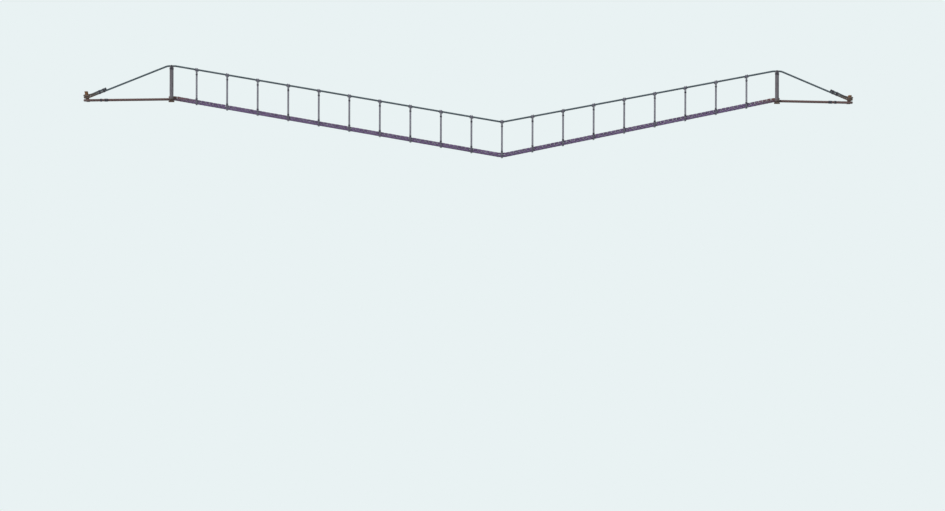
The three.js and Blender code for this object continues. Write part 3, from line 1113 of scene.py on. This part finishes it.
@dataclass(frozen=True)
class Sling:
    """One endless loop of rope, hitched to both hand ropes, so that two parts of it run side by side.

    It hangs round the foot point, in the middle of the deck and level with the foot ropes, and the
    hand ropes lie above by the rise. Its shafts end at the head drop under the hand ropes.
    """

    layout: Layout
    foot: Vector
    rise: float
    foot_slope: float
    hand_slope: float
    lobe: Outline = ((-60, 0.66), (-30, 0.88), (0, 1.0), (30, 0.88))
    steps: int = 4
    radius: float = 0.013
    parting: float = 0.0006
    seat: float = 0.0007
    hitch_seat: float = 0.001
    hitch_depth: float = 0.08
    head_drop: float = 0.045

    # Points of the hitch: angle round the hand rope, how far aside in half gaps and in radii, and
    # how far off the rope in radii and in metres
    HITCH = (
        (-62, 1, 0.0, 0, 0.003), (-35, 1, 0.0, 0, 0.001), (0, 1, 0.0, 0, 0), (40, 1, 0.1, 0, 0),
        (90, 1, 0.5, 0, 0), (140, 1, 1.1, 0, 0), (180, 1, 1.6, 0, 0), (225, 1, 2.0, 0, 0),
        (270, 1, 2.2, 0, 0.001), (305, 1, 2.2, 0, 0.005), (330, 1, 1.9, 0, 0.016),
        (346, 1, 1.2, 0, 0.024), (354, 0.7, 0.0, 2.02, 0), (355, 0.0, 0.0, 2.05, 0),
    )

    @property
    def half_gap(self) -> float:
        """Distance of each part's centre line from the middle of the sling."""
        return self.radius + self.parting / 2

    def mesh(self) -> Mesh:
        """Builds the sling.

        Returns:
            The mesh, in place.
        """
        route = Route([self.foot + point for point in self._loop()], closed=True)
        laid = LaidRope(self.radius, self.lobe, self.steps).straight(route.length, looped=True)
        route.lay(laid)
        bm = bmesh.new()
        bm.from_mesh(laid)
        bpy.data.meshes.remove(laid)
        bmesh.ops.remove_doubles(bm, verts=bm.verts[:], dist=self.radius * 0.05)
        return finished(bm, "sling")

    def _shaft(self) -> tuple[Vector, Vector, float, float]:
        """Gives the straight part of the sling on the far side.

        Returns:
            The foot and the head of the shaft, the radius of its bend under the foot rope, and the
            angle at which that bend starts.
        """
        layout = self.layout
        wrap = layout.foot_radius * math.hypot(1, self.foot_slope) + self.seat + self.radius
        top_y = layout.rail_half - layout.foot_half
        top_z = self.rise - layout.hand_radius - self.head_drop
        start = math.atan2(top_z, top_y) - math.acos(wrap / math.hypot(top_y, top_z))
        foot = Vector((0, layout.foot_half + wrap * math.cos(start), wrap * math.sin(start)))
        return foot, Vector((0, layout.rail_half, top_z)), wrap, start

    def _loop(self) -> Path:
        """Gives the sling's closed centre line, from the foot point.

        At its hitch a strand goes up the outer side of the hand rope, over the top, down the inner
        side and back to the outer side, where it crosses the standing parts to the other strand.

        Returns:
            The points of the line.
        """
        half = self.layout.foot_half
        foot, head, wrap, start = self._shaft()
        rising = [Vector((0, share * half, -wrap)) for share in (0.0, 0.5, 0.9)]
        for step in range(13):
            angle = -math.pi / 2 + (start + math.pi / 2) * step / 12
            rising.append(Vector((0, half + wrap * math.cos(angle), wrap * math.sin(angle))))
        rising += [foot.lerp(head, share) for share in (0.25, 0.5, 0.75, 1.0)]
        quarter = [Vector((-self.half_gap, y, z)) for _, y, z in rising]
        close = self.layout.hand_radius + self.radius + self.hitch_seat
        for angle, gaps, radii, off_radii, off in self.HITCH:
            turned = math.radians(angle)
            reach = close + off_radii * self.radius + off
            y = self.layout.rail_half + reach * math.cos(turned)
            x = -(gaps * self.half_gap + radii * self.radius)
            quarter.append(Vector((x, y, self.rise + reach * math.sin(turned))))
        far = quarter + [Vector((-x, y, z)) for x, y, z in reversed(quarter)]
        loop = far + [Vector((-x, -y, z)) for x, y, z in far[1:-1]]
        for point in loop:
            hitched = point.z > self.rise - self.hitch_depth
            point.z += point.x * (self.hand_slope if hitched else self.foot_slope)
        return loop

    def bindings(self, twine_radius: float, places: Iterable[tuple[float, int]]) -> list[Path]:
        """Gives the twine round the two parts, on both sides of the bridge.

        Args:
            twine_radius: Radius of the twine.
            places: Shares of the shaft where it is bound, and the turns there.

        Returns:
            The paths of the twine.
        """
        foot, head, _, _ = self._shaft()
        reach = self.radius + twine_radius * TWINE_REACH
        across = Vector((1, 0, self.foot_slope))
        paths = []
        for share, turns in places:
            for side in Side:
                turned = Vector((1, side.value, 1))
                along = (head - foot) * turned
                binding = Binding(along, across, self.half_gap, reach, turns, TWINE_PITCH * twine_radius)
                paths.append(binding.path(self.foot + foot.lerp(head, share) * turned))
        return paths


@dataclass
class Slings(SubAssembly):
    """Rope slings that hang from the hand ropes and pass under the foot ropes, with their bindings.

    Each sling is bound under its hitches and above the deck, by shares of its shaft and turns there.
    """

    twine_radius: float = 0.003
    bindings: tuple[tuple[float, int], ...] = ((0.14, 6), (0.93, 5))

    def build(self) -> None:
        """Builds every sling and the bindings of all of them."""
        foot_line, hand_line = (self.layout.over_span(rope) for rope in (Rope.FOOT, Rope.HAND))
        paths: list[Path] = []
        for station in range(1, self.layout.bay_count):
            x = self.layout.station_x(station)
            foot, foot_slope = at_x(foot_line, x)
            hand, hand_slope = at_x(hand_line, x)
            sling = Sling(self.layout, foot, hand.z - foot.z, foot_slope, hand_slope)
            node = f"hanger_sling_{station:02d}"
            piece(f"{node}_loop", sling.mesh(), self.finishes.sling_rope, Slot.SLING_ROPE, node)
            paths += sling.bindings(self.twine_radius, self.bindings)
        twine = cord_mesh(paths, self.twine_radius)
        piece("sling_seizings", twine, self.finishes.twine, Slot.SLING_ROPE)


class Plank:
    """One sawn board of the deck, a little off true.

    Its place has X along the bridge and Z up from the foot ropes, from the middle of its underside.
    """

    CUTS = 4
    WORN = 0.004
    ROUGH = 0.0016

    def __init__(self, deck: Deck, low: Vector, high: Vector) -> None:
        """Cuts the board, and chooses where in a trunk it was cut, from the heart and along it.

        Args:
            deck: The deck, whose chance gives the board its own shape.
            low: Where the board's share of the foot ropes starts.
            high: Where it ends.
        """
        pick = deck.chance.uniform
        along = (high - low).normalized()
        up = Vector((-along.z, 0, along.x))
        seat = (low + high) / 2 + up * (deck.layout.foot_radius + deck.layout.seat)
        turned = Matrix((along, Vector((0, 1, 0)), up)).transposed().to_4x4()
        self.place = Matrix.Translation(seat) @ turned
        self.length = deck.board_length - pick(0.001, 0.014)
        self.width = deck.pitch - deck.gap - pick(0.0, 0.003)
        self.thickness = deck.board_thickness - 0.0015 - pick(0.0, 0.0025)
        self.aside = pick(-1, 1) * (deck.board_length - self.length) / 2
        self.turn = pick(-0.005, 0.005)
        self.crown = pick(-0.0015, 0.0)
        self.skew = pick(-0.004, 0.004)
        self.heart = (pick(-0.05, 0.05), pick(-0.09, -0.015) if pick(0, 1) < 0.6 else pick(0.06, 0.12))
        self.cut = pick(0.0, 90.0)
        self.tone = pick(0.0, 1.0)

    def mesh(self) -> tuple[Mesh, np.ndarray]:
        """Builds the board.

        Returns:
            The mesh, in place, and where each of its points lay in the trunk.
        """
        bm = sawn_block((self.width, self.length, self.thickness), self.CUTS, self.WORN)
        for vert in bm.verts:
            x, y, z = vert.co
            share = 2 * y / self.length
            rough = noise.noise(Vector((x * 30, y * 9, z * 30 + self.cut * 10))) * self.ROUGH
            vert.co.x += rough
            vert.co.y += self.skew * x / self.width * (1 if share > 0 else -1)
            vert.co.z += self.crown * (1 - share * share) + (rough if z > 0 else 0.0)
        moved = Matrix.Translation((0, self.aside, self.thickness / 2))
        bmesh.ops.transform(bm, matrix=Matrix.Rotation(self.turn, 4, "Z") @ moved, verts=bm.verts[:])
        mesh = finished(bm, "board")
        x, y, z = points_of(mesh).T
        trunk = np.column_stack([x - self.heart[0], z - self.heart[1], y + self.cut])
        mesh.transform(self.place)
        return mesh, trunk

    def at(self, x: float, y: float, z: float) -> Vector:
        """Gives a point near the board, from the middle of its underside."""
        return self.place @ Vector((x, y, z))


@dataclass
class Deck(SubAssembly):
    """Cross boards that lie on the foot ropes, and the cord that laces them to each rope.

    The cord crosses each board from the inner to the outer place, both measured from the rope's
    middle. Chance gives each board its own shape.
    """

    board_length: float = 0.800
    board_thickness: float = 0.048
    pitch: float = 0.112
    gap: float = 0.0095
    past_post: float = 0.076
    panel_gap: float = 0.006
    cord_radius: float = 0.0035
    cord_inner: float = -0.032
    cord_outer: float = 0.011
    chance: random.Random = field(default_factory=lambda: random.Random(11))

    def build(self) -> None:
        """Builds the boards of each stretch, then the lacing of each side."""
        count = self.layout.bay_count
        edges = [0, *range(1, count, 2), count]
        lacing: dict[Side, list[Path]] = {side: [] for side in Side}
        for number, (first, last) in enumerate(zip(edges, edges[1:]), 1):
            planks = self._planks(self._edge(first, 1), self._edge(last, -1))
            node = f"deck_boards_{number:02d}"
            piece(f"{node}_planks", self._stretch(planks), self.finishes.boards, Slot.BOARDS, node)
            for side in Side:
                lacing[side].append(self._lacing(planks, side))
        for side in Side:
            cord = cord_mesh(lacing[side], self.cord_radius)
            piece(f"{side.label}_board_lacing", cord, self.finishes.twine, Slot.BOARDS)

    def _edge(self, station: int, inward: int) -> float:
        """Place of a stretch's end at a station, from which the stretch lies inward along X."""
        back = -self.past_post if station in (0, self.layout.bay_count) else self.panel_gap / 2
        return self.layout.station_x(station) + inward * back

    def _planks(self, start: float, end: float) -> list[Plank]:
        """Spaces boards evenly along a stretch of the deck.

        Args:
            start: Where the stretch starts, along the bridge.
            end: Where it ends.

        Returns:
            The boards.
        """
        line = self.layout.over_span(Rope.FOOT)
        inner = [point for point in line if start < point.x < end]
        points = [at_x(line, start)[0], *inner, at_x(line, end)[0]]
        length = sum((b - a).length for a, b in zip(points, points[1:]))
        count = round(length / self.pitch)
        ends = [walked(points, length * index / count) for index in range(count + 1)]
        return [Plank(self, low, high) for low, high in zip(ends, ends[1:])]

    @staticmethod
    def _stretch(planks: Sequence[Plank]) -> Mesh:
        """Joins the boards of a stretch into one mesh.

        Args:
            planks: The boards.

        Returns:
            The mesh.
        """
        whole = bmesh.new()
        trunks: list[np.ndarray] = []
        tones: list[float] = []
        for plank in planks:
            mesh, trunk = plank.mesh()
            whole.from_mesh(mesh)
            trunks.append(trunk)
            tones += [plank.tone] * len(trunk)
            bpy.data.meshes.remove(mesh)
        mesh = finished(whole, "boards")
        mark_timber(mesh, np.vstack(trunks), tones)
        return mesh

    def _lacing(self, planks: Sequence[Plank], side: Side) -> Path:
        """Laces the boards of a stretch to a foot rope with one cord.

        The cord crosses each board from the inner side of the rope to its outer side, goes down
        through the gap and passes back under the rope.

        Args:
            planks: The boards.
            side: The rope's side.

        Returns:
            The path of the cord.
        """
        rope = self.layout.foot_half
        inner, outer, half = rope + self.cord_inner, rope + self.cord_outer, self.pitch / 2
        lie = self.cord_radius * 0.9
        seat = self.layout.foot_radius + self.layout.seat
        # Across a board: where along the bridge, share of the way out, and height over its top
        nearing = ((half - 0.004, 0.0, -0.009), (half - 0.008, 0.02, -0.002), (half - 0.016, 0.1, 0.0))
        nearing += ((half * 0.3, 0.38, 0.0),)
        over = [(-x, share, z) for x, share, z in nearing]
        over += [(x, 1 - share, z) for x, share, z in reversed(nearing)]
        around = seat + lie
        under = [(rope + around - 0.004, 0.012)]
        for angle in range(15, -196, -21):
            turned = math.radians(angle)
            under.append((rope + around * math.cos(turned), around * math.sin(turned) - seat))
        under.append((rope - around + 0.002, 0.012))
        path = [planks[0].at(-half + 0.001, side.value * inner, 0.006)]
        for plank, following in zip(planks, [*planks[1:], None]):
            top = plank.thickness + plank.crown * 0.15 + lie
            for x, share, z in over:
                path.append(plank.at(x, side.value * (inner + (outer - inner) * share), top + z))
            if following:
                for y, z in [(outer + 0.004, top - 0.020), *under, (inner - 0.001, top - 0.020)]:
                    last = plank.at(half, side.value * y, z)
                    path.append(last.lerp(following.at(-half, side.value * y, z), 0.5))
        path.append(planks[-1].at(half - 0.001, side.value * outer, 0.006))
        return path


@dataclass(frozen=True)
class Log:
    """A peeled pole on a flat foot, with cracks from drying.

    The crack is the depth of its deepest one, the rows are rings of faces up its side, and the lean
    is its run over rise along X.
    """

    foot: Vector
    radius: float
    height: float
    seed: int
    lean: float = 0.0
    chamfer: float = 0.011
    crack: float = 0.0045
    rows: int = 16
    sides: int = 96
    uneven: float = 0.0011

    def mesh(self) -> Mesh:
        """Builds the pole.

        Returns:
            The mesh, in place.
        """
        outline = [(0.0, 0.0)]
        outline += [(self.radius, self.height * row / self.rows) for row in range(self.rows)]
        for step in range(5):
            angle = math.pi / 8 * step
            inset = self.chamfer * (1 - math.cos(angle))
            outline.append((self.radius - inset, self.height - self.chamfer * (1 - math.sin(angle))))
        outline += [(self.radius * share, self.height) for share in (0.55, 0.3, 0.0)]
        bm = bmesh.new()
        verts = [bm.verts.new((x, 0, z)) for x, z in outline]
        edges = [bm.edges.new(pair) for pair in zip(verts, verts[1:])]
        whole = {"angle": 2 * math.pi, "steps": self.sides, "use_merge": True}
        bmesh.ops.spin(bm, geom=verts + edges, **whole, **ROUND_Z)
        bmesh.ops.remove_doubles(bm, verts=bm.verts[:], dist=TINY)
        pick = random.Random(self.seed).uniform
        cracks = []
        for third, share in enumerate((1.0, 0.6, 0.8)):
            side = (third + pick(0.1, 0.9)) * self.sides / 3
            low, high = pick(0.0, 0.5), pick(0.6, 1.05)
            cracks.append((round(side), low, high, share * self.crack))
        for vert in bm.verts:
            self._weather(vert, cracks)
        mesh = finished(bm, "log")
        mesh.transform(Matrix.Translation(self.foot))
        return mesh

    def _weather(self, vert: bmesh.types.BMVert, cracks: Sequence[tuple[int, float, float, float]]) -> None:
        """Moves a point inwards where the pole is uneven or cracked, then leans it.

        Args:
            vert: The point.
            cracks: For each crack its side, where it starts and ends as shares of the height, and
                its depth.
        """
        x, y, z = vert.co
        if math.hypot(x, y) > self.radius * 0.2:
            angle = math.atan2(y, x)
            side = round(angle / (2 * math.pi) * self.sides)
            wave = noise.noise(Vector((math.cos(angle) * 1.3, math.sin(angle) * 1.3, z * 5 + self.seed)))
            inward = self.uneven * (1 + wave)
            for crack, low, high, depth in cracks:
                wander = round(noise.noise(Vector((z * 9, crack, self.seed))) * 1.4)
                share = z / self.height
                if (side - crack - wander) % self.sides == 0 and low < share < high:
                    inward += depth * min(1.0, max(min(share - low, high - share) / 0.15, 0.15))
            vert.co.xy *= 1 - inward / self.radius
        vert.co.x += self.lean * z

    def mark(self, mesh: Mesh) -> None:
        """Stores where the pole's points lay in their trunk, whose heart is a little off its middle.

        Args:
            mesh: The pole's mesh, in place.
        """
        pick = random.Random(self.seed + 500).uniform
        x, y, z = (points_of(mesh) - np.array(tuple(self.foot))).T
        off = (pick(-0.012, 0.012), pick(-0.012, 0.012))
        trunk = np.column_stack([x - self.lean * z - off[0], y - off[1], z + 7.0 * self.seed])
        mark_timber(mesh, trunk, [pick(0.25, 0.75)] * len(trunk))


@dataclass
class Bank(SubAssembly):
    """What stands on a landing: a hewn sill with two posts, and two stakes behind them.

    A hand rope is bound to its post round the neck, whose height is given from the rope's centre.
    """

    landing: Landing
    sill_width: float = 0.160
    sill_length: float = 1.240
    sill_cuts: tuple[int, int] = (47, 7)
    sill_worn: float = 0.005
    sill_hewn: float = 0.0012
    sill_waved: float = 0.006
    post_radius: float = 0.055
    post_above_rope: float = 0.012
    saddle_gap: float = 0.001
    saddle_half: float = 0.120
    saddle_top: float = 0.060
    cord_radius: float = 0.004
    cord_pitch: float = 0.0085
    cord_turns: int = 4
    neck: float = -0.075

    def build(self) -> None:
        """Builds the sill, the posts with their lashings, and the stakes."""
        index = self.landing.of((0, 1))
        self._sill(index)
        for number, side in enumerate(Side):
            self._post(side, 3 + 2 * index + number)
            self._stake(side, 13 + 2 * index + number)

    def _sill(self, seed: int) -> None:
        """Builds the sill.

        Args:
            seed: Seed of its tool marks.
        """
        height = self.layout.sill_height
        bm = sawn_block((self.sill_width, self.sill_length, height), self.sill_cuts[0], self.sill_worn)
        wide = self.sill_width / 2
        across = [edge for edge in bm.edges if abs(edge.verts[0].co.x - edge.verts[1].co.x) > wide]
        bmesh.ops.subdivide_edges(bm, edges=across, cuts=self.sill_cuts[1], use_grid_fill=True)
        for vert in bm.verts:
            x, y, z = vert.co
            if z > -height * 0.3:
                vert.co.z -= self.sill_hewn * (1 + noise.noise(Vector((x * 14 + seed * 7, y * 11, 3))))
                vert.co.x *= 1 - self.sill_waved * (1 + noise.noise(Vector((y * 6, seed, z * 20))))
        mesh = finished(bm, "sill")
        x, y, z = points_of(mesh).T
        mark_timber(mesh, np.column_stack([x - 0.02, z + 0.07, y + 11 * seed]), [0.5] * len(x))
        mesh.transform(Matrix.Translation((self.layout.landing_x(self.landing), 0, height / 2)))
        node = f"{self.landing.label}_sill"
        piece(f"{node}_timber", mesh, self.finishes.sills, Slot.FOOTING, node)

    def _post(self, side: Side, seed: int) -> None:
        """Builds a post with a saddle for the hand rope, and the lashing that holds the rope there.

        Args:
            side: The post's side.
            seed: Seed of its shape.
        """
        layout, landing = self.layout, self.landing
        foot = layout.sill_height + layout.seat
        stand = Vector((layout.landing_x(landing), side.value * layout.rail_half, foot))
        rope = Vector((stand.x, stand.y, layout.rest_height(Rope.HAND, landing)))
        height = rope.z + self.post_above_rope - foot
        log = Log(stand, self.post_radius, height, seed)
        mesh = self._saddled(log.mesh(), rope)
        log.mark(mesh)
        node = f"{landing.label}_{side.label}_post"
        piece(f"{node}_pole", mesh, self.finishes.posts, Slot.POSTS, node)
        lashing = cord_mesh(self._lashing(rope), self.cord_radius)
        piece(f"{node}_lashing", lashing, self.finishes.twine, Slot.POSTS)

    def _saddled(self, post: Mesh, rope: Vector) -> Mesh:
        """Cuts the saddle for the hand rope out of the top of a post.

        Args:
            post: The post's mesh.
            rope: The hand rope's centre over the post.

        Returns:
            The cut mesh.
        """
        reach = self.layout.hand_radius + self.saddle_gap
        turned = [math.radians(angle) for angle in range(0, -181, -12)]
        outline = [(reach * math.cos(angle), reach * math.sin(angle)) for angle in turned]
        outline += [(-reach, self.saddle_top), (reach, self.saddle_top)]
        bm = bmesh.new()
        face = bm.faces.new([bm.verts.new((-self.saddle_half, y, z)) for y, z in outline])
        pushed = bmesh.ops.extrude_face_region(bm, geom=[face])["geom"]
        bmesh.ops.translate(bm, vec=(2 * self.saddle_half, 0, 0), verts=verts_of(pushed))
        bmesh.ops.translate(bm, vec=rope, verts=bm.verts[:])
        body, cutter = added("post", post), added("saddle", finished(bm, "saddle"))
        cut = body.modifiers.new("cut", "BOOLEAN")
        cut.operation = "DIFFERENCE"
        cut.solver = "EXACT"
        cut.object = cutter
        return evaluated(body, cutter)

    def _lashing(self, rope: Vector) -> list[Path]:
        """Gives the cord that binds a hand rope into its saddle.

        Args:
            rope: The hand rope's centre over the post.

        Returns:
            Turns round the post's neck, and turns from the neck over the rope.
        """
        reach = self.post_radius + self.cord_radius * 0.7
        up, along = Vector((0, 0, 1)), Vector((1, 0, 0))
        round_neck = Binding(up, along, 0.0, reach, self.cord_turns, self.cord_pitch)
        paths = [round_neck.path(rope + up * self.neck)]
        shoulder = self.post_above_rope
        crown = self.layout.hand_radius + self.cord_radius
        for turn in range(-2, 3):
            x = turn * self.cord_pitch
            wide = math.sqrt(reach * reach - x * x)
            half = [(wide, self.neck + 0.004), (wide, -0.030), (wide, 0.002), (wide - 0.006, 0.013)]
            half += [(0.037, shoulder + 0.006), (0.024, shoulder + 0.011), (0.013, crown - 0.002)]
            whole = [*half, (0.0, crown + 0.001), *((-y, z) for y, z in reversed(half))]
            path = [rope + Vector((x, y, z)) for y, z in whole]
            eased = [a.lerp(b, share) for a, b in zip(path, path[1:]) for share in (0.25, 0.75)]
            paths.append([path[0], *eased, path[-1]])
        return paths

    def _stake(self, side: Side, seed: int) -> None:
        """Builds a leaning stake.

        Args:
            side: The stake's side.
            seed: Seed of its shape.
        """
        layout, landing = self.layout, self.landing
        x = layout.landing_x(landing) + landing.value * landing.of(layout.stake_run)
        stand = Vector((x, side.value * layout.stake_half, 0))
        height, lean = landing.of(layout.stake_height), landing.value * layout.stake_lean
        log = Log(stand, layout.stake_radius, height, seed, lean, chamfer=0.012, crack=0.0025, rows=8)
        mesh = log.mesh()
        log.mark(mesh)
        node = f"{landing.label}_{side.label}_stake"
        piece(f"{node}_pole", mesh, self.finishes.stakes, Slot.FOOTING, node)


@dataclass
class Studio:
    """Camera, plain pale floor and soft light.

    The left posts stand at a place in the picture, from its left and top edges in pixels, and the
    picture is turned by the roll in degrees. Each light has a name, a strength, and a size and a
    turn in degrees.
    """

    metres_per_pixel: float = 0.0275
    left_post_pixel: float = 171.5
    foot_pixel: float = 102.2
    roll: float = -0.17
    camera_away: float = 40.0
    floor_z: float = -1.60
    floor_x: float = 8.3
    floor_half: float = 60.0
    lights: tuple[tuple[str, float, float, tuple[float, float, float]], ...] = (
        ("key_light", 2.6, 18, (48, 0, -32)),
        ("fill_light", 0.7, 60, (60, 0, 150)),
    )

    def build(self) -> None:
        """Sets the camera, the floor, the surroundings and the lights."""
        bpy.context.scene.view_settings.view_transform = "Standard"
        self._camera()
        self._floor()
        world = bpy.data.worlds.new("pale_surroundings")
        world.use_nodes = True
        fill(world.node_tree.nodes["Background"], {"Color": linear("#e9f2f3"), "Strength": 1.0})
        bpy.context.scene.world = world
        for name, strength, size, turn in self.lights:
            data = bpy.data.lights.new(name, "SUN")
            data.energy = strength
            data.angle = math.radians(size)
            added(name, data).rotation_euler = tuple(math.radians(angle) for angle in turn)

    def _camera(self) -> None:
        """Sets a camera that looks straight at the near side, without perspective."""
        data = bpy.data.cameras.new("camera")
        data.type = "ORTHO"
        data.ortho_scale = IMAGE_WIDTH * self.metres_per_pixel
        data.clip_end = 5 * self.camera_away
        camera = added("camera", data)
        x = (IMAGE_WIDTH / 2 - self.left_post_pixel) * self.metres_per_pixel
        z = (self.foot_pixel - IMAGE_HEIGHT / 2) * self.metres_per_pixel
        roll = Matrix.Rotation(math.radians(self.roll), 4, "Y")
        upright = Matrix.Rotation(math.radians(90), 4, "X")
        middle = roll @ Vector((x, 0, z))
        camera.matrix_world = Matrix.Translation((middle.x, -self.camera_away, middle.z)) @ roll @ upright
        bpy.context.scene.camera = camera

    def _floor(self) -> None:
        """Lays a plain pale floor under the low point."""
        bm = bmesh.new()
        bmesh.ops.create_grid(bm, x_segments=1, y_segments=1, size=self.floor_half)
        bmesh.ops.translate(bm, vec=(self.floor_x, 0, self.floor_z), verts=bm.verts[:])
        mesh = bpy.data.meshes.new("floor")
        bm.to_mesh(mesh)
        bm.free()
        material, _, shader = new_material("pale_floor")
        fill(shader, {"Base Color": linear("#b3bbbd"), "Roughness": 0.95})
        mesh.materials.append(material)
        floor = added("floor", mesh)


def main() -> None:
    """Builds the bridge in order."""
    logging.basicConfig(level=logging.INFO, format="%(name)s: %(message)s")
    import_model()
    Studio().build()
    layout = Layout()
    finishes = Finishes(layout)
    MainRopes(layout, finishes).build()
    Slings(layout, finishes).build()
    Deck(layout, finishes).build()
    for landing in Landing:
        Bank(layout, finishes, landing).build()


if __name__ == "__main__":
    main()
